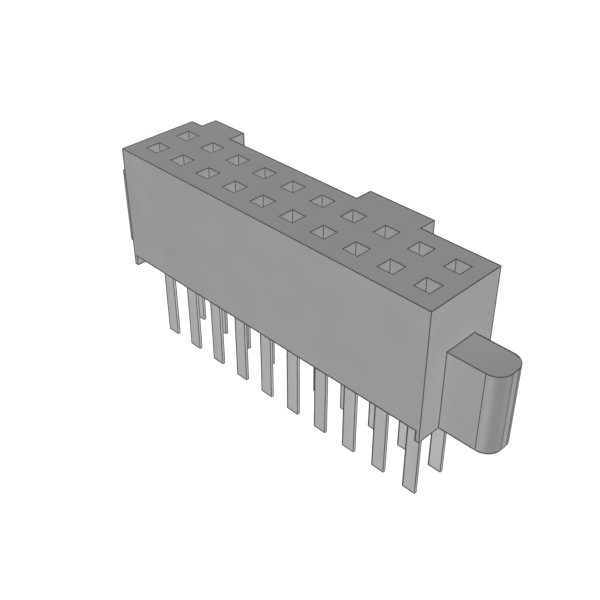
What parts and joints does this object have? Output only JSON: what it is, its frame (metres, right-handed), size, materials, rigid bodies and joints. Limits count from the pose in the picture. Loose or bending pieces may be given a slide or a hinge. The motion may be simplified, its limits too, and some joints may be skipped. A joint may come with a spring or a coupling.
{
  "type": "board-to-board socket",
  "caption": "Double-row fine-pitch socket for a circuit board, with square pin entries, flat solder tails, rounded guide ears on both ends and polarising keys along one side.",
  "frame": {"origin": "middle of the contact grid, on the plane of the circuit board, which the feet and the ears rest on", "axes": "+X along the rows, with the narrow key at the -X end; +Y from the front row to the back row, where the keys are; +Z out of the board towards the mating face"},
  "size_m": [0.0166, 0.0036, 0.0077],
  "materials": {
    "housing_plastic": "mid grey glass-filled moulding plastic, dull, sharp edges with darker fine radii",
    "contact_metal": "dull tin plating over a rolled copper-alloy strip"
  },
  "bodies": {
    "root": {"housing": "housing_plastic", "contact_front_01": "contact_metal", "contact_front_02": "contact_metal", "contact_front_03": "contact_metal", "contact_front_04": "contact_metal", "contact_front_05": "contact_metal", "contact_front_06": "contact_metal", "contact_front_07": "contact_metal", "contact_front_08": "contact_metal", "contact_front_09": "contact_metal", "contact_front_10": "contact_metal", "contact_back_01": "contact_metal", "contact_back_02": "contact_metal", "contact_back_03": "contact_metal", "contact_back_04": "contact_metal", "contact_back_05": "contact_metal", "contact_back_06": "contact_metal", "contact_back_07": "contact_metal", "contact_back_08": "contact_metal", "contact_back_09": "contact_metal", "contact_back_10": "contact_metal"}
  },
  "joints": []
}
